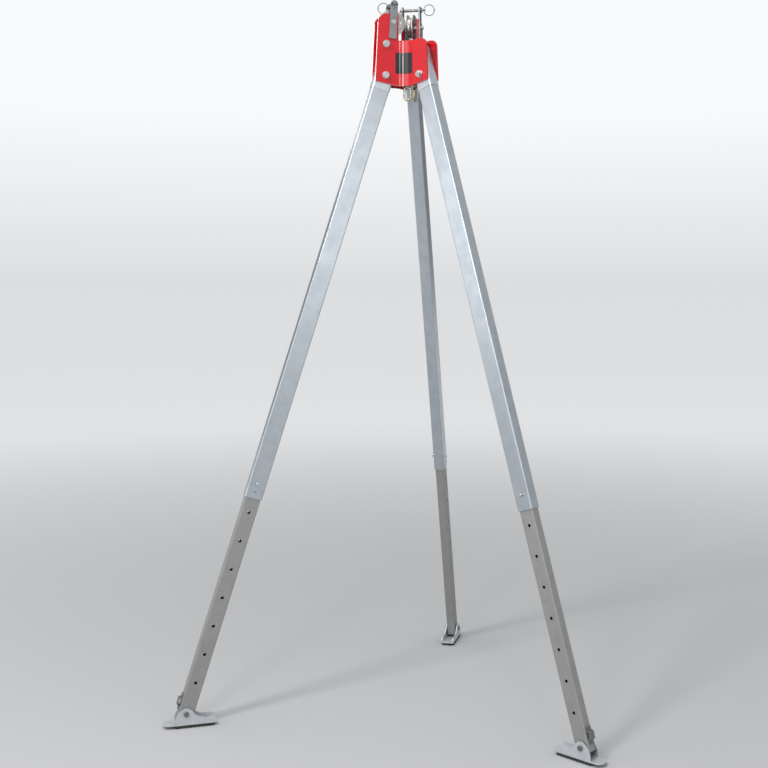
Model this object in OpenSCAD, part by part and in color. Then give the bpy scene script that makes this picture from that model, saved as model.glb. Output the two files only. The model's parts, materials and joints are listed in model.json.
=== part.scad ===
// Rescue tripod: three telescopic box-section legs hinged in a head of three bent plates.
// The rear leg lies along +Y. The origin is on the floor, under the middle of the whole tripod.

/* [Leg] */
// Angle of an open leg from the vertical, in degrees
leg_tilt = 17.9; // [15:0.1:20]
// Wide side of the outer tube, in the plane in which the leg swings
outer_tube_wide = 60; // [56:1:64]
// Narrow side of the outer tube
outer_tube_narrow = 40; // [36:1:46]
// Wall of both tubes
tube_wall = 3; // [2:0.5:4]
// Outer corner radius of both tubes
tube_corner = 4; // [1:0.5:5]
// Sliding gap on each side between the two tubes
tube_gap = 0.3; // [0.2:0.05:0.5]
// Head pivot to lock pin, along the leg
pivot_to_lock = 1450; // [1200:10:1700]
// Lock pin to the lower end of the outer tube
lock_to_end = 50; // [40:1:70]
// Small hole on the knob's side to the lower end of the outer tube
side_hole_to_end = 22; // [15:1:28]
// Radius of that hole
side_hole_r = 3; // [2:0.5:4]
// Foot pivot to the lowest lock hole
foot_to_first_hole = 107; // [100:1:140]
// Spacing of the lock holes
hole_pitch = 100; // [80:5:120]
// Number of lock holes in the inner tube
hole_count = 8; // [6:1:9]
// Length of the inner tube above the lock pin
inner_overlap = 250; // [150:10:350]
// Foot pivot to the cut lower end of the inner tube
foot_to_tube_end = 17; // [12:0.5:18]
// Wall of the sleeve round the top of the outer tube
sleeve_wall = 1.7; // [1:0.1:3]
// Head pivot to the lower end of the sleeve
sleeve_drop = 50; // [40:1:80]

/* [Lock pins] */
// Radius of the lock pins
lock_pin_r = 5; // [4:0.5:6]
// Gap round a lock pin in its holes
lock_pin_gap = 0.5; // [0.3:0.1:0.8]
// How far a lock pin's knob stands out of the tube
lock_pin_out = 13; // [10:1:18]
// How far its tail stands out on the other side
lock_pin_tail = 8; // [6:1:18]
// Radius of the shoulder that stops a lock pin
lock_shoulder_r = 8; // [7:0.5:10]
// Thickness of that shoulder
lock_shoulder_h = 4; // [3:0.5:6]
// Radius of the knob on a lock pin
lock_knob_r = 6.5; // [6:0.5:9]

/* [Strap loops] */
// Foot pivot to the lower end of a strap loop
loop_start = 4; // [2:1:12]
// Length of a strap loop along the leg
loop_length = 56; // [50:1:60]
// Width of a strap loop
loop_width = 26; // [20:1:30]
// Thickness of the strip a loop is bent from
loop_thick = 3; // [2:0.5:4]
// Inside height of a loop above the tube
loop_height = 8; // [6:0.5:12]
// Length of each flat end of a loop
loop_end = 12; // [10:0.5:14]
// Length of the slope between flat end and bridge
loop_ramp = 4; // [3:0.5:6]
// Radius of a loop rivet's head
rivet_r = 4; // [3:0.5:4.5]

/* [Head] */
// Distance of the leg pivots from the tripod's axis
pivot_radius = 84; // [78:1:92]
// Thickness of the bent plates
plate_thick = 6; // [4:0.5:8]
// Gap between a leg and each plate
plate_gap = 0.3; // [0.2:0.05:0.5]
// Distance from the axis at which a plate starts to bend
bend_start = 44; // [40:1:50]
// Flat strip beside a bend before a side's lower edge starts to slope
side_strip = 3; // [2:0.5:5]
// Distance from the axis to the foot of a plate's outer edge
plate_reach = 120; // [112:1:128]
// Lean of the plates' outer edges towards the axis, in degrees
edge_lean = 3; // [0:0.5:5]
// Depth of a plate below the pivots at its bend
bend_drop = 34; // [32:1:42]
// Depth of a plate below the pivots at its outer edge
edge_drop = 20; // [16:1:28]
// Height of a short side above the pivots
short_rise = 117; // [114:1:130]
// Distance from the axis to a tall side's inner edge
tall_start = 39; // [37:0.5:50]
// Height of a tall side above the pivots
tall_rise = 205; // [195:1:220]
// Radius of a short side's outer top corner
short_corner = 24; // [15:1:30]
// Radius of a tall side's outer top corner
tall_corner = 32; // [20:1:40]
// Width of the bare label over the front bend's flat edges
label_edge = 6; // [2:1:10]
// Lower edge of the label above the pivots
label_low = 7; // [0:1:20]
// Height of the label
label_high = 69; // [50:1:80]
// Thickness of the label
label_thick = 0.8; // [0.5:0.1:1.2]

/* [Head bolts] */
// Radius of the leg pivot bolts
pivot_bolt_r = 6; // [5:0.5:8]
// Running gap between a bolt and what turns on it
running_gap = 0.05; // [0.03:0.01:0.08]
// Gap round a bolt in the holes of what it clamps
hole_gap = 0.1; // [0.05:0.05:0.3]
// Wall of the bush that lines a leg's pivot
bush_wall = 3; // [2:0.5:4]
// Radius of the spacer bolts above the legs
spacer_bolt_r = 6; // [4:0.5:7]
// Radius of the spacer tubes, which stop the opening legs
spacer_r = 8; // [7:0.5:10]
// Distance of the spacers from the tripod's axis
spacer_radius = 82; // [78:1:86]
// Height of the spacers above the pivots
spacer_rise = 104.5; // [100:0.5:106]
// Gap between a spacer and the top of an open leg
stop_gap = 0.3; // [0.2:0.05:0.6]
// Thickness of the washers under heads and nuts
washer_h = 2; // [1:0.5:3]

/* [Sheaves] */
// Distance of the sheave axles from the tripod's axis
axle_radius = 57.5; // [54:0.5:60]
// Height of the sheave axles above the pivots
axle_rise = 176.5; // [172:0.5:180]
// Radius of the axle bolts
axle_r = 4; // [4:0.5:7]
// Outer radius of a sheave
sheave_r = 45; // [40:1:48]
// Width of a sheave
sheave_width = 28; // [22:1:34]
// Width of a sheave's rim at its edge
rim_width = 3; // [2:0.5:4]
// Depth of the rope groove
groove_depth = 10; // [6:0.5:14]
// Width of the groove's floor
groove_floor = 8; // [6:0.5:12]
// Wall of the bush in a sheave
sheave_bush_wall = 4; // [3:0.5:6]
// Gap between a sheave and the spacers beside it
sheave_gap = 0.3; // [0.2:0.05:0.6]
// Wall of the spacers on an axle
axle_spacer_wall = 4; // [3:0.5:6]

/* [Straps and keeper pins] */
// Width of the straps outside the tall sides
strap_width = 25; // [20:1:28]
// Thickness of the straps
strap_thick = 5.5; // [4:0.5:7]
// Length of a strap below its axle
strap_below = 55; // [45:1:60]
// Axle to keeper pin
axle_to_keeper = 60; // [56:1:66]
// Lean of the straps towards the axis, in degrees
strap_lean = 3; // [0:0.5:4]
// Radius of the keeper pins
keeper_r = 5; // [4:0.5:6]
// Gap round a keeper pin in the straps
keeper_gap = 0.3; // [0.2:0.05:0.5]
// Length of a keeper pin beyond the far strap
keeper_out = 7; // [5:0.5:12]
// Radius of a keeper pin's collar
keeper_collar_r = 8; // [7:0.5:10]
// Thickness of that collar
keeper_collar_h = 4; // [3:0.5:6]
// Length of the flat end that carries the pull ring
keeper_tab = 12; // [11:0.5:15]
// Thickness of that flat end
keeper_tab_h = 5; // [4:0.5:6]
// Radius of the ring's hole in the flat end
ring_hole_r = 3; // [2.8:0.1:3.2]
// Radius of the pull ring to the middle of its wire
ring_r = 18; // [14:0.5:22]
// Radius of the ring's wire
ring_wire_r = 1.5; // [1.2:0.1:1.6]
// Swing of the left ring away from its pin's line, in degrees
ring_swing_left = 70; // [0:5:75]
// Swing of the rear ring away from its pin's line, in degrees
ring_swing_rear = 15; // [0:5:75]

/* [Anchor eyes] */
// Distance of the anchor bar from the axis, towards the right leg
anchor_offset = 19; // [16:0.5:22]
// Width of the anchor bar
anchor_width = 22; // [20:1:26]
// Thickness of the anchor bar
anchor_thick = 12; // [10:0.5:16]
// Depth of the anchor bar's underside below the pivots
anchor_drop = 26; // [22:1:30]
// Gap between the bar's ends and the plates it is welded to
weld_gap = 0.05; // [0.02:0.01:0.1]
// Distance of each eye from the middle of the bar
eye_offset = 18; // [16:0.5:19]
// Radius of an eye's shank
eye_shank_r = 5; // [4:0.5:6]
// Gap above and below the bar at an eye
eye_gap = 0.3; // [0.2:0.05:0.5]
// Radius of an eye's collar and of its nut
eye_collar_r = 7.5; // [6.5:0.5:8]
// Height of an eye's collar
eye_collar_h = 7; // [5:0.5:9]
// Height of an eye's nut
eye_nut_h = 8; // [6:0.5:10]
// Outside width of an eye
eye_width = 31; // [26:1:34]
// Outside height of an eye
eye_height = 52; // [46:1:60]
// Radius of an eye's rod
eye_rod_r = 3.8; // [3:0.1:4.5]

/* [Feet] */
// Height of the foot pivots above the floor
foot_pivot_height = 48; // [46:0.5:54]
// Thickness of the tread pad with its teeth
pad_thick = 10; // [8:0.5:12]
// Height of the tread's teeth
tooth_height = 5; // [3:0.5:6]
// Number of teeth along a tread
tooth_count = 11; // [8:1:14]
// Thickness of the shoe's sheet
shoe_thick = 5; // [3:0.5:6]
// Gap inside the shoe on each side of the tube
shoe_side_gap = 3.3; // [1:0.1:5]
// Foot pivot to the toe, towards the axis
toe_reach = 102; // [95:1:110]
// Foot pivot to the heel of the side cheeks
heel_reach = 37; // [34:1:42]
// Foot pivot to the end of the base's tongue
tongue_reach = 75; // [60:1:85]
// Radius of the tongue's corners
tongue_corner = 20; // [10:1:22]
// Height of the toe's upper edge above the floor
toe_top = 31; // [28:1:34]
// Radius of the cheeks' top round the pivot
cheek_top_r = 20; // [17:0.5:22]
// Radius of the curve up a cheek's heel
heel_curve_r = 50; // [46:1:56]
// Depth of that curve's centre below the foot pivot
heel_curve_drop = 28; // [26:1:32]
// Radius of the hollow slope from a cheek's top to the toe
slope_r = 55; // [50:1:60]
// Foot pivot to the lowest point of that slope
slope_reach = 67; // [64:1:70]
// Radius of the toe's upper corner
toe_corner = 12; // [8:1:14]
// Radius of the foot bolts
foot_bolt_r = 5; // [4:0.5:6]
// Height of a foot bolt's head and nut
foot_head_h = 6; // [4:0.5:7]
// Foot pivot to the outer end of the tread
pad_heel = 40; // [36:1:44]
// Foot pivot to the inner end of the tread
pad_toe = 93; // [85:1:95]
// Gap between an end plug and the shoe's floor
plug_gap = 0.6; // [0.4:0.1:1]

/* [Hidden] */
$fn = 64;
REAR = 0;
LEFT = 1;
RIGHT = 2;
leg_spread = 120;
bolt_head_factor = 1.85;
bolt_head_height_factor = 1.4;
bolt_end_factor = 2;
nut_height_factor = 1.5;
washer_factor = 2;
ring_rest_share = 0.6;
// Shares of a tread tooth's pitch at which its flat starts, its flat ends and its root is reached
tooth_flat_from = 0.2;
tooth_flat_to = 0.6;
tooth_root_at = 0.8;
// Angles at which the curves of a shoe's cheek start and end
heel_turn = 64;
cheek_top_from = 70;
cheek_top_to = 128;
slope_from = -31;
arc_steps = 10;
bend_steps = 20;
cut_margin = 3;
inner_tube_wide = outer_tube_wide - 2 * (tube_wall + tube_gap);
inner_tube_narrow = outer_tube_narrow - 2 * (tube_wall + tube_gap);
inner_corner = max(tube_corner - tube_wall, 0.5);
lock_hole_r = lock_pin_r + lock_pin_gap;
lock_to_foot = foot_to_first_hole + (hole_count - 1) * hole_pitch;
leg_length = pivot_to_lock + lock_to_foot;
pivot_height = foot_pivot_height + leg_length * cos(leg_tilt);
foot_radius = pivot_radius + leg_length * sin(leg_tilt);
sleeve_wide = outer_tube_wide + 2 * sleeve_wall;
sleeve_narrow = outer_tube_narrow + 2 * sleeve_wall;
bush_r = pivot_bolt_r + running_gap + bush_wall;
// Half gaps between a leg's two plate sides, at their inner and outer faces
channel_half = sleeve_narrow / 2 + plate_gap;
channel_outer = channel_half + plate_thick;
// Top of a leg, set by the spacer that stops it
spacer_in = spacer_radius - pivot_radius;
leg_top = spacer_rise * cos(leg_tilt) - spacer_in * sin(leg_tilt) - spacer_r - stop_gap;
// Bend of the plates, concave to the outside
plate_corner_r = channel_outer / tan(leg_spread / 2);
bend_r = (bend_start - plate_corner_r) / tan(90 - leg_spread / 2);
bend_centre = [bend_start, channel_outer + bend_r];
bend_angle = 180 - leg_spread;
side_start = bend_start + side_strip;
strap_outer = channel_outer + strap_thick;
sheave_bush_r = axle_r + running_gap + sheave_bush_wall;
axle_spacer_h = channel_half - sheave_width / 2 - sheave_gap;
keeper_hole_r = keeper_r + keeper_gap;
ring_hole_at = strap_outer + keeper_gap + keeper_collar_h + keeper_tab / 2;
// The ring's wire rests off the middle of its hole, towards the ring's centre
ring_rest = (ring_hole_r - ring_wire_r) * ring_rest_share;
eye_bend_r = eye_width / 2 - eye_rod_r;
eye_straight = eye_height - eye_width;
eye_drop = anchor_drop + eye_gap + eye_collar_h - eye_rod_r / 2;
base_low = pad_thick - foot_pivot_height;
base_high = base_low + shoe_thick;
shoe_half = inner_tube_narrow / 2 + shoe_side_gap;
shoe_outer = shoe_half + shoe_thick;
plug_r = -base_high - plug_gap;
// Middle of the tripod's box along Y, which the origin lies under
box_rear = foot_radius + tongue_reach;
box_front = (foot_radius + tongue_reach - tongue_corner) * cos(leg_spread / 2)
  + (shoe_outer - tongue_corner) * sin(leg_spread / 2) + tongue_corner;
axis_y = (box_front - box_rear) / 2;

function azimuth(leg) = 90 + leg * leg_spread;

// Points along an arc from angle a to angle b
function arc(centre, r, a, b, steps = arc_steps) = [for (i = [0:steps])
  let (t = a + (b - a) * i / steps) centre + r * [cos(t), sin(t)]];

function reversed(points) = [for (i = [len(points) - 1:-1:0]) points[i]];

// Plan of a bent sheet's face, seen in the frame of the leg it starts at: along one flat side,
// round the bend and along the other. The face lies "out" beyond the plates' outer face.
function bend_line(out, reach) =
  let (turn = -90 - bend_angle, r = bend_r - out)
    concat([[reach, channel_outer + out]], arc(bend_centre, r, -90, turn, bend_steps),
      [bend_centre + r * [cos(turn), sin(turn)]
        + (reach - bend_start) * [cos(leg_spread), sin(leg_spread)]]);

function bent_plan(out_from, out_to, reach) =
  concat(bend_line(out_from, reach), reversed(bend_line(out_to, reach)));

// Frame of a leg's plane: X away from the tripod's axis, Y across the leg
module in_leg_plane(leg) {
  translate([0, axis_y, 0]) rotate([0, 0, azimuth(leg)]) children();
}

module at_pivot(leg) {
  in_leg_plane(leg) translate([pivot_radius, 0, pivot_height]) children();
}

// Frame at a head pivot with Z up along the open leg and X on its outer side
module along_leg(leg) {
  at_pivot(leg) rotate([0, -leg_tilt, 0]) children();
}

module at_foot(leg) {
  in_leg_plane(leg) translate([foot_radius, 0, foot_pivot_height]) children();
}

// Frame on the tripod's axis at the height of the pivots
module at_head(leg) {
  in_leg_plane(leg) translate([0, 0, pivot_height]) children();
}

// Cylinder across a leg, from y = from to y = to
module across(r, from, to) {
  translate([0, to, 0]) rotate([90, 0, 0]) cylinder(r = r, h = to - from);
}

module rounded_rect(wide, narrow, r) {
  square([wide - 2 * r, narrow], center = true);
  square([wide, narrow - 2 * r], center = true);
  for (x = [-1, 1], y = [-1, 1])
    translate([x * (wide / 2 - r), y * (narrow / 2 - r)]) circle(r = r);
}

module box_tube(wide, narrow, wall, from, to) {
  translate([0, 0, from]) linear_extrude(to - from) difference() {
    rounded_rect(wide, narrow, tube_corner);
    rounded_rect(wide - 2 * wall, narrow - 2 * wall, inner_corner);
  }
}

// Bolt across a leg: the head and washer on the +Y side of a grip of the given half length
module cross_bolt(r, half_grip) {
  head_h = r * bolt_head_height_factor;
  across(r, -half_grip - washer_h - r * bolt_end_factor, half_grip + washer_h);
  across(r * washer_factor, half_grip, half_grip + washer_h);
  translate([0, half_grip + washer_h + head_h, 0]) rotate([90, 0, 0])
    cylinder(r = r * bolt_head_factor, h = head_h, $fn = 6);
}

// Washer and nut on the -Y end of such a bolt
module cross_nut(r, half_grip) {
  nut_h = r * nut_height_factor;
  difference() {
    union() {
      across(r * washer_factor, -half_grip - washer_h, -half_grip);
      translate([0, -half_grip - washer_h, 0]) rotate([90, 0, 0])
        cylinder(r = r * bolt_head_factor, h = nut_h, $fn = 6);
    }
    across(r + hole_gap, -half_grip - washer_h - 2 * nut_h, 0);
  }
}

// What is cut off one flat side of a bent plate: all beyond its outer edge and top corner, the slope
// under it and its bolt holes
module side_cut(leg, side, tall) {
  rise = tall ? tall_rise : short_rise;
  corner = tall ? tall_corner : short_corner;
  // Centre of the top corner, one corner radius inside the leaning edge
  corner_at = [plate_reach - (corner + (rise - corner + edge_drop) * sin(edge_lean)) / cos(edge_lean),
    rise - corner];
  far = plate_reach + 2 * cut_margin;
  high = tall_rise + cut_margin;
  low = -bend_drop - cut_margin;
  low_reach = plate_reach - (low + edge_drop) * tan(edge_lean);
  slope = (bend_drop - edge_drop) / (plate_reach - side_start);
  at_head(leg) {
    translate([0, side > 0 ? channel_outer + cut_margin : cut_margin - channel_half, 0])
      rotate([90, 0, 0]) linear_extrude(plate_thick + 2 * cut_margin) {
        polygon(concat([[low_reach, low]], arc(corner_at, corner, edge_lean, 90),
          [[corner_at[0], high], [far, high], [far, low]]));
        polygon([[side_start, -bend_drop], [side_start, low], [far, low],
          [far, slope * (far - side_start) - bend_drop]]);
      }
    translate([pivot_radius, 0, 0])
      across(pivot_bolt_r + hole_gap, -2 * channel_outer, 2 * channel_outer);
    if (tall) {
      translate([spacer_radius, 0, spacer_rise])
        across(spacer_bolt_r + hole_gap, -2 * channel_outer, 2 * channel_outer);
      translate([axle_radius, 0, axle_rise])
        across(axle_r + hole_gap, -2 * channel_outer, 2 * channel_outer);
    }
  }
}

// Plan of what is cut down to the short rise: all of a bent plate but its tall sides
module low_plan(first_tall, next_tall) {
  far = 2 * plate_reach;
  if (first_tall && next_tall) {
    tip = [tall_start, tall_start * tan(leg_spread / 2)];
    turn = -90 - bend_angle;
    polygon([tip, tip - [0, far], tip + far * [cos(turn), sin(turn)]]);
  } else rotate(first_tall ? 0 : leg_spread) translate([tall_start - far, -far]) square([far, 2 * far]);
}

// Bent plate from one leg to the next one counter-clockwise
module bent_plate(leg, first_tall, next_tall) {
  color("crimson") difference() {
    at_head(leg) translate([0, 0, -bend_drop]) linear_extrude(bend_drop + tall_rise)
      polygon(bent_plan(-plate_thick, 0, plate_reach + cut_margin));
    side_cut(leg, 1, first_tall);
    side_cut(leg + 1, -1, next_tall);
    at_head(leg) translate([0, 0, short_rise]) linear_extrude(tall_rise)
      low_plan(first_tall, next_tall);
  }
}

module head_plate_front() {
  bent_plate(LEFT, true, false);
}

module head_plate_right() {
  bent_plate(RIGHT, false, true);
}

module head_plate_left() {
  bent_plate(REAR, true, true);
}

// Bare label that follows the front plate's bend and its flat edges
module label_plate() {
  color("black") at_head(LEFT) translate([0, 0, label_low]) linear_extrude(label_high)
    polygon(bent_plan(0, label_thick, bend_start + label_edge));
}

module pivot_bolts() {
  color("silver") for (leg = [REAR, LEFT, RIGHT])
    at_pivot(leg) cross_bolt(pivot_bolt_r, channel_outer);
}

module pivot_nuts() {
  color("silver") for (leg = [REAR, LEFT, RIGHT])
    at_pivot(leg) cross_nut(pivot_bolt_r, channel_outer);
}

module at_spacer(leg) {
  at_head(leg) translate([spacer_radius, 0, spacer_rise]) children();
}

module spacer_bolts() {
  color("silver") for (leg = [REAR, LEFT]) at_spacer(leg) cross_bolt(spacer_bolt_r, channel_outer);
}

module spacer_nuts() {
  color("silver") for (leg = [REAR, LEFT]) at_spacer(leg) cross_nut(spacer_bolt_r, channel_outer);
}

module spacer_tubes() {
  color("gray") for (leg = [REAR, LEFT]) at_spacer(leg) difference() {
    across(spacer_r, -channel_half, channel_half);
    across(spacer_bolt_r + hole_gap, -channel_outer, channel_outer);
  }
}

// Bar welded between the two short sides, which stops the right leg
module stop_bar_right() {
  color("crimson") at_spacer(RIGHT) across(spacer_r, -channel_half, channel_half);
}

module at_axle(leg) {
  at_head(leg) translate([axle_radius, 0, axle_rise]) children();
}

// Frame at an axle, leaning with the straps
module in_straps(leg) {
  at_axle(leg) rotate([0, -strap_lean, 0]) children();
}

module strap_outline() {
  difference() {
    union() {
      translate([-strap_width / 2, -strap_below]) square([strap_width, strap_below + axle_to_keeper]);
      translate([0, axle_to_keeper]) circle(r = strap_width / 2);
    }
    circle(r = axle_r + hole_gap);
    translate([0, axle_to_keeper]) circle(r = keeper_hole_r);
  }
}

module strap_pair(leg) {
  color("lightsteelblue") in_straps(leg) for (y = [strap_outer, -channel_outer])
    translate([0, y, 0]) rotate([90, 0, 0]) linear_extrude(strap_thick) strap_outline();
}

module strap_pair_left() {
  strap_pair(LEFT);
}

module strap_pair_rear() {
  strap_pair(REAR);
}

module axle_bolts() {
  color("silver") for (leg = [REAR, LEFT]) at_axle(leg) cross_bolt(axle_r, strap_outer);
}

module axle_nuts() {
  color("silver") for (leg = [REAR, LEFT]) at_axle(leg) cross_nut(axle_r, strap_outer);
}

module axle_spacers() {
  color("gray") for (leg = [REAR, LEFT], side = [-1, 1]) at_axle(leg) difference() {
    translate([0, side * (channel_half - axle_spacer_h / 2), 0])
      across(axle_r + hole_gap + axle_spacer_wall, -axle_spacer_h / 2, axle_spacer_h / 2);
    across(axle_r + hole_gap, -channel_outer, channel_outer);
  }
}

// Sheave with bevelled rims and a rope groove with sloping walls
module sheave(leg) {
  half = sheave_width / 2;
  rim = half - rim_width;
  color("silver") at_axle(leg) rotate([90, 0, 0]) rotate_extrude() polygon([
    [sheave_bush_r, -half], [sheave_r - groove_depth, -half], [sheave_r, -rim - rim_width / 2],
    [sheave_r, -rim + rim_width / 2], [sheave_r - groove_depth, -groove_floor / 2],
    [sheave_r - groove_depth, groove_floor / 2], [sheave_r, rim - rim_width / 2],
    [sheave_r, rim + rim_width / 2], [sheave_r - groove_depth, half], [sheave_bush_r, half]]);
}

module sheave_left() {
  sheave(LEFT);
}

module sheave_rear() {
  sheave(REAR);
}

module sheave_bush(leg) {
  color("goldenrod") at_axle(leg) difference() {
    across(sheave_bush_r, -sheave_width / 2, sheave_width / 2);
    across(axle_r + running_gap, -sheave_width, sheave_width);
  }
}

module sheave_bush_left() {
  sheave_bush(LEFT);
}

module sheave_bush_rear() {
  sheave_bush(REAR);
}

// Keeper pin, drawn out on the -Y side, where a flat end carries the ring
module keeper_pin(leg) {
  collar_at = -strap_outer - keeper_gap;
  tab_from = collar_at - keeper_collar_h - keeper_tab;
  color("gray") in_straps(leg) translate([0, 0, axle_to_keeper]) {
    across(keeper_r, collar_at - keeper_collar_h, strap_outer + keeper_out);
    across(keeper_collar_r, collar_at - keeper_collar_h, collar_at);
    difference() {
      intersection() {
        across(keeper_r, tab_from, collar_at - keeper_collar_h);
        translate([-keeper_r, tab_from, -keeper_tab_h / 2])
          cube([2 * keeper_r, keeper_tab, keeper_tab_h]);
      }
      translate([0, -ring_hole_at, -keeper_r]) cylinder(r = ring_hole_r, h = 2 * keeper_r);
    }
  }
}

module keeper_pin_left() {
  keeper_pin(LEFT);
}

module keeper_pin_rear() {
  keeper_pin(REAR);
}

module pull_ring(leg, swing) {
  color("silver") in_straps(leg) translate([0, -ring_hole_at, axle_to_keeper])
    rotate([0, 0, swing]) translate([0, -ring_r - ring_rest, 0]) rotate([0, 90, 0])
      rotate_extrude() translate([ring_r, 0]) circle(r = ring_wire_r);
}

module pull_ring_left() {
  pull_ring(LEFT, ring_swing_left);
}

module pull_ring_rear() {
  pull_ring(REAR, ring_swing_rear);
}

// Flat bar between the front and right plates, cut to their bends
module anchor_bar() {
  bar_half = channel_outer + bend_r;
  color("crimson") at_head(RIGHT) difference() {
    translate([anchor_offset - anchor_width / 2, -bar_half, -anchor_drop])
      cube([anchor_width, 2 * bar_half, anchor_thick]);
    for (side = [-1, 1]) {
      translate([bend_centre.x, side * bend_centre.y, -anchor_drop - anchor_thick])
        cylinder(r = bend_r + plate_thick + weld_gap, h = 3 * anchor_thick);
      translate([anchor_offset, side * eye_offset, -anchor_drop - anchor_thick])
        cylinder(r = eye_shank_r + running_gap, h = 3 * anchor_thick);
    }
  }
}

module at_eye(side) {
  at_head(RIGHT) translate([anchor_offset, side * eye_offset, 0]) children();
}

// Oval eye with its collar under the bar and its shank through it; turn is about the shank
module swivel_eye(side, turn) {
  top = -anchor_drop - eye_gap;
  shank_top = anchor_thick - anchor_drop + eye_gap + eye_nut_h;
  color("khaki") at_eye(side) {
    translate([0, 0, top]) cylinder(r = eye_shank_r, h = shank_top - top);
    translate([0, 0, top - eye_collar_h]) cylinder(r = eye_collar_r, h = eye_collar_h);
    rotate([0, 0, turn]) translate([0, 0, -eye_drop - eye_width / 2]) {
      for (x = [-1, 1])
        translate([x * eye_bend_r, 0, -eye_straight]) cylinder(r = eye_rod_r, h = eye_straight);
      rotate([90, 0, 0]) rotate_extrude(angle = 180) translate([eye_bend_r, 0]) circle(r = eye_rod_r);
      translate([0, 0, -eye_straight]) rotate([90, 180, 0]) rotate_extrude(angle = 180)
        translate([eye_bend_r, 0]) circle(r = eye_rod_r);
    }
  }
}

module swivel_eye_front() {
  swivel_eye(-1, -azimuth(RIGHT));
}

module swivel_eye_back() {
  swivel_eye(1, 90 - azimuth(RIGHT));
}

module eye_nut(side) {
  color("gray") at_eye(side) translate([0, 0, anchor_thick - anchor_drop + eye_gap]) difference() {
    cylinder(r = eye_collar_r, h = eye_nut_h, $fn = 6);
    translate([0, 0, -eye_nut_h]) cylinder(r = eye_shank_r, h = 3 * eye_nut_h);
  }
}

module eye_nut_front() {
  eye_nut(-1);
}

module eye_nut_back() {
  eye_nut(1);
}

module outer_tube(leg) {
  color("gainsboro") along_leg(leg) difference() {
    box_tube(outer_tube_wide, outer_tube_narrow, tube_wall, -pivot_to_lock - lock_to_end, leg_top);
    across(bush_r, -outer_tube_narrow, outer_tube_narrow);
    translate([0, 0, -pivot_to_lock]) across(lock_hole_r, -outer_tube_narrow, outer_tube_narrow);
    translate([0, 0, side_hole_to_end - pivot_to_lock - lock_to_end])
      across(side_hole_r, 0, outer_tube_narrow);
  }
}

module outer_tube_left() {
  outer_tube(LEFT);
}

module outer_tube_rear() {
  outer_tube(REAR);
}

module outer_tube_right() {
  outer_tube(RIGHT);
}

module leg_sleeve(leg) {
  color("lightgray") along_leg(leg) difference() {
    translate([0, 0, -sleeve_drop]) linear_extrude(sleeve_drop + leg_top) difference() {
      rounded_rect(sleeve_wide, sleeve_narrow, tube_corner + sleeve_wall);
      rounded_rect(outer_tube_wide, outer_tube_narrow, tube_corner);
    }
    across(bush_r, -sleeve_narrow, sleeve_narrow);
  }
}

module leg_sleeve_left() {
  leg_sleeve(LEFT);
}

module leg_sleeve_rear() {
  leg_sleeve(REAR);
}

module leg_sleeve_right() {
  leg_sleeve(RIGHT);
}

module pivot_bush(leg) {
  color("goldenrod") along_leg(leg) difference() {
    across(bush_r, -sleeve_narrow / 2, sleeve_narrow / 2);
    across(pivot_bolt_r + running_gap, -sleeve_narrow, sleeve_narrow);
  }
}

module pivot_bush_left() {
  pivot_bush(LEFT);
}

module pivot_bush_rear() {
  pivot_bush(REAR);
}

module pivot_bush_right() {
  pivot_bush(RIGHT);
}

// Frame at a foot pivot with Z up along the open leg
module up_leg(leg) {
  along_leg(leg) translate([0, 0, -leg_length]) children();
}

module inner_tube(leg) {
  color("darkgray") up_leg(leg) difference() {
    box_tube(inner_tube_wide, inner_tube_narrow, tube_wall,
      -foot_to_tube_end, lock_to_foot + inner_overlap);
    across(foot_bolt_r + running_gap, -inner_tube_narrow, inner_tube_narrow);
    for (i = [0:hole_count - 1])
      translate([0, 0, foot_to_first_hole + i * hole_pitch])
        across(lock_hole_r, -inner_tube_narrow, inner_tube_narrow);
  }
}

module inner_tube_left() {
  inner_tube(LEFT);
}

module inner_tube_rear() {
  inner_tube(REAR);
}

module inner_tube_right() {
  inner_tube(RIGHT);
}

// Plug in the tube's lower end, rounded so that it swings inside the shoe
module end_plug(leg) {
  inside_wide = inner_tube_wide - 2 * tube_wall;
  inside_narrow = inner_tube_narrow - 2 * tube_wall;
  neck = (foot_to_tube_end - foot_bolt_r) / 2;
  color("black") up_leg(leg) union() {
    intersection() {
      translate([0, 0, -plug_r]) linear_extrude(plug_r - foot_to_tube_end)
        rounded_rect(inner_tube_wide, inner_tube_narrow, tube_corner);
      across(plug_r, -inner_tube_narrow, inner_tube_narrow);
    }
    translate([0, 0, -foot_to_tube_end]) linear_extrude(neck)
      rounded_rect(inside_wide, inside_narrow, inner_corner);
  }
}

module end_plug_left() {
  end_plug(LEFT);
}

module end_plug_rear() {
  end_plug(REAR);
}

module end_plug_right() {
  end_plug(RIGHT);
}

// Strip bent into a loop on the outer narrow side of the inner tube, with its two rivets
module strap_loop(leg) {
  low = loop_start;
  high = loop_start + loop_length;
  top = loop_height + loop_thick;
  color("gray") up_leg(leg) translate([inner_tube_wide / 2, 0, 0]) {
    translate([0, loop_width / 2, 0]) rotate([90, 0, 0]) linear_extrude(loop_width) polygon([
      [0, low], [loop_thick, low], [loop_thick, low + loop_end], [top, low + loop_end + loop_ramp],
      [top, high - loop_end - loop_ramp], [loop_thick, high - loop_end], [loop_thick, high],
      [0, high], [0, high - loop_end - loop_thick],
      [loop_height, high - loop_end - loop_ramp - loop_thick],
      [loop_height, low + loop_end + loop_ramp + loop_thick], [0, low + loop_end + loop_thick]]);
    for (z = [low + loop_end / 2, high - loop_end / 2])
      translate([loop_thick, 0, z]) rotate([0, 90, 0]) cylinder(r = rivet_r, h = rivet_r / 2);
  }
}

module strap_loop_left() {
  strap_loop(LEFT);
}

module strap_loop_rear() {
  strap_loop(REAR);
}

module strap_loop_right() {
  strap_loop(RIGHT);
}

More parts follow.
